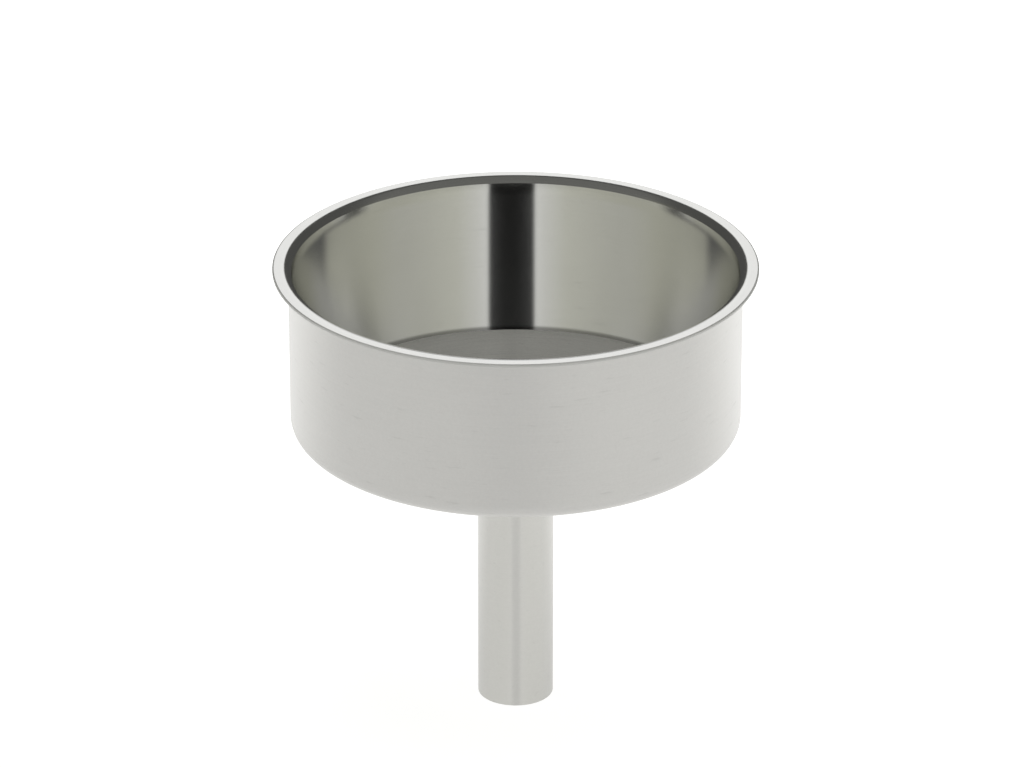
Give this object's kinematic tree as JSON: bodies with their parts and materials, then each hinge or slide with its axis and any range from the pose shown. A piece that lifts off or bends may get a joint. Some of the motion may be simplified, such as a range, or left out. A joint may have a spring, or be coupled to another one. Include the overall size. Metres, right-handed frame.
{
  "type": "funnel",
  "caption": "Stainless filter funnel: a shallow straight-walled bowl with an out-turned rim, a perforated plate in its bottom and a long narrow straight spout.",
  "frame": {"origin": "centre of the spout's outlet, in the plane of its cut end", "axes": "+Z is the axis of turning, up from the spout's outlet to the bowl's mouth; +X and +Y are any two square directions, since the funnel is round"},
  "size_m": [0.07, 0.07, 0.0688],
  "materials": {
    "bowl_steel": "satin outside, brushed round the inside of the wall",
    "spout_steel": "satin drawn tube",
    "plate_steel": "dull mill finish, punched"
  },
  "bodies": {
    "root": {"bowl": "bowl_steel", "spout_tube": "spout_steel", "filter_plate": "plate_steel"}
  },
  "joints": []
}
